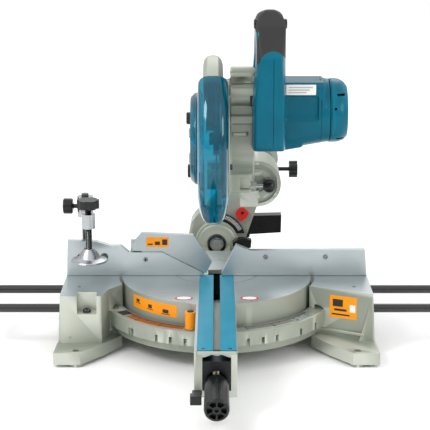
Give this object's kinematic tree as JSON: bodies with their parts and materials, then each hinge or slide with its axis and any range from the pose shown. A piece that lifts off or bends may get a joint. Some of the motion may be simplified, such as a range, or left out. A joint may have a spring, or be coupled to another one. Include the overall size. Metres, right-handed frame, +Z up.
{
  "type": "mitre saw",
  "caption": "Sliding compound mitre saw: cast base and turntable, tilting arm, slide poles, raised head with clear blue guard, fences, vise and support rods",
  "frame": {"origin": "on the bench, under the turntable's axis, at the centre of the four bench bolt holes", "axes": "+X to the operator's right, +Y to the back, +Z up"},
  "size_m": [0.656, 0.7574, 0.4612],
  "materials": {
    "cast_grey": "satin",
    "machined": "machined",
    "steel": "turned",
    "chrome": "ground",
    "blue_shell": "moulded",
    "kerf_blue": "moulded",
    "clear_blue": "clear",
    "black_plastic": "moulded",
    "rubber": "soft",
    "red_plastic": "moulded",
    "orange_plastic": "moulded",
    "blade_steel": "ground",
    "black_steel": "gloss",
    "grey_plate": "satin",
    "core_steel": "bare"
  },
  "bodies": {
    "base": {"base_casting": "cast_grey", "rubber_feet": "rubber", "fence_left": "machined", "fence_right": "machined", "fence_bolts": "steel", "rod_clamp_screws": "black_steel", "pivot_bolt": "steel", "vise_post": "steel"},
    "holder_left": {"holder_left": "black_steel"},
    "holder_right": {"holder_right": "black_steel"},
    "turntable": {"turntable_casting": "cast_grey", "kerf_board_left": "kerf_blue", "kerf_board_right": "kerf_blue", "kerf_screws": "black_steel", "lock_box": "black_plastic", "mitre_pointer": "orange_plastic", "bevel_scale": "grey_plate", "bevel_shaft": "steel"},
    "mitre_lock": {"mitre_grip": "black_plastic", "lock_spindle": "steel"},
    "mitre_stop": {"mitre_stop_lever": "black_plastic"},
    "arm": {"arm_casting": "cast_grey", "pole_bushes": "core_steel", "bevel_pointer": "red_plastic"},
    "bevel_lock": {"bevel_lock_lever": "black_plastic"},
    "bevel_stop": {"bevel_stop_lever": "black_plastic"},
    "slide_lock": {"slide_lock_screw": "black_plastic"},
    "carriage": {"carriage_casting": "cast_grey", "slide_pole_left": "chrome", "slide_pole_right": "chrome", "pole_end_plate": "steel", "hinge_pin": "steel"},
    "stopper": {"stopper_pin": "steel", "stopper_ball": "black_plastic"},
    "head": {"gear_housing": "cast_grey", "blade_case": "cast_grey", "motor_housing": "blue_shell", "motor_end_cap": "blue_shell", "handle_left": "blue_shell", "handle_right": "blue_shell", "grip_sleeve": "rubber", "motor_stator": "core_steel", "ball_bearings": "steel", "housing_screws": "black_steel"},
    "armature": {"armature": "core_steel"},
    "arbor": {"arbor_shaft": "steel", "drive_gear": "steel", "saw_blade": "blade_steel", "blade_flanges": "steel", "arbor_bolt": "steel"},
    "guard": {"lower_guard": "clear_blue", "centre_cover": "clear_blue"},
    "trigger": {"trigger": "black_plastic"},
    "lock_off": {"lock_off_button": "black_plastic"},
    "vise": {"vise_arm": "cast_grey"},
    "vise_clamp": {"vise_clamp_screw": "black_plastic"},
    "vise_screw": {"vise_spindle": "steel"},
    "vise_handle": {"vise_knob": "black_plastic"},
    "flip": {"flip_fence": "grey_plate"}
  },
  "joints": [
    {"name": "mitre", "type": "hinge", "parent": "base", "child": "turntable", "pos_m": [0, 0, 0.085], "axis": [0, 0, -1], "range_deg": [-57, 47]},
    {"name": "holder_left_slide", "type": "slide", "parent": "base", "child": "holder_left", "axis": [-1, 0, 0], "range_m": [-0.012, 0.03]},
    {"name": "holder_right_slide", "type": "slide", "parent": "base", "child": "holder_right", "axis": [1, 0, 0], "range_m": [-0.012, 0.03]},
    {"name": "mitre_lock_turn", "type": "hinge", "parent": "turntable", "child": "mitre_lock", "pos_m": [0, -0.314, 0.048], "axis": [0, -0.9925, -0.1219], "range_deg": [-20, 160]},
    {"name": "mitre_stop_press", "type": "hinge", "parent": "turntable", "child": "mitre_stop", "pos_m": [-0.024, -0.314, 0.04], "axis": [1, 0, 0], "range_deg": [0, 10], "stiffness_Nm_per_rad": 1, "springref_deg": -5.73},
    {"name": "bevel", "type": "hinge", "parent": "turntable", "child": "arm", "pos_m": [0, 0.195, 0.085], "axis": [0, 1, 0], "range_deg": [-42, 5]},
    {"name": "bevel_lock_turn", "type": "hinge", "parent": "arm", "child": "bevel_lock", "pos_m": [0, 0.24, 0.085], "axis": [0, 1, 0], "range_deg": [0, 30]},
    {"name": "bevel_stop_press", "type": "hinge", "parent": "turntable", "child": "bevel_stop", "pos_m": [0.034, 0.165, 0.088], "axis": [0, 1, 0], "range_deg": [0, 10], "stiffness_Nm_per_rad": 0.6, "springref_deg": -11.46},
    {"name": "slide_lock_turn", "type": "hinge", "parent": "arm", "child": "slide_lock", "pos_m": [0.115, 0.214, 0.19], "axis": [1, 0, 0], "range_deg": [0, 270]},
    {"name": "slide", "type": "slide", "parent": "arm", "child": "carriage", "axis": [0, 1, 0], "range_m": [-0.11, 0.03]},
    {"name": "stopper_slide", "type": "slide", "parent": "carriage", "child": "stopper", "axis": [1, 0, 0], "range_m": [-0.008, 0]},
    {"name": "chop", "type": "hinge", "parent": "carriage", "child": "head", "pos_m": [0.007, 0.066, 0.207], "axis": [1, 0, 0], "range_deg": [0, 45], "stiffness_Nm_per_rad": 6, "springref_deg": -85.94},
    {"name": "armature_spin", "type": "hinge", "parent": "head", "child": "armature", "pos_m": [0.09, -0.054, 0.323], "axis": [1, 0, 0], "continuous": true},
    {"name": "blade_spin", "type": "hinge", "parent": "head", "child": "arbor", "pos_m": [0, -0.062, 0.29], "axis": [1, 0, 0], "continuous": true},
    {"name": "guard_turn", "type": "hinge", "parent": "head", "child": "guard", "pos_m": [0, -0.062, 0.29], "axis": [1, 0, 0], "range_deg": [-128.2, 0.2]},
    {"name": "trigger_pull", "type": "hinge", "parent": "head", "child": "trigger", "pos_m": [0.068, -0.062, 0.426], "axis": [1, 0, 0], "range_deg": [-7, 0], "stiffness_Nm_per_rad": 0.8, "springref_deg": 8.59},
    {"name": "lock_off_push", "type": "slide", "parent": "head", "child": "lock_off", "axis": [1, 0, 0], "range_m": [-0.0018, 0.0018], "stiffness_N_per_m": 250},
    {"name": "vise_swing", "type": "hinge", "parent": "base", "child": "vise", "pos_m": [-0.182, 0.026, 0.178], "axis": [0, 0, 1], "range_deg": [-40, 25]},
    {"name": "vise_clamp_turn", "type": "hinge", "parent": "vise", "child": "vise_clamp", "pos_m": [-0.2, 0.026, 0.178], "axis": [1, 0, 0], "range_deg": [0, 180]},
    {"name": "vise_feed", "type": "slide", "parent": "vise", "child": "vise_screw", "axis": [0, 0, -1], "range_m": [-0.003, 0.0075]},
    {"name": "vise_knob_turn", "type": "hinge", "parent": "vise_screw", "child": "vise_handle", "pos_m": [-0.1715, -0.045, 0.198], "axis": [0, 0, -1], "range_deg": [-270, 675]},
    {"name": "flip_fence_turn", "type": "hinge", "parent": "base", "child": "flip", "pos_m": [-0.1115, 0.005, 0.127], "axis": [0, -1, 0], "range_deg": [0, 105]}
  ],
  "couplings": [
    {"joint": "guard_turn", "follows": "chop", "ratio": -2.8444},
    {"joint": "armature_spin", "follows": "blade_spin", "ratio": -4.8},
    {"joint": "vise_knob_turn", "follows": "vise_feed", "rad_per_m": 1570.8}
  ]
}
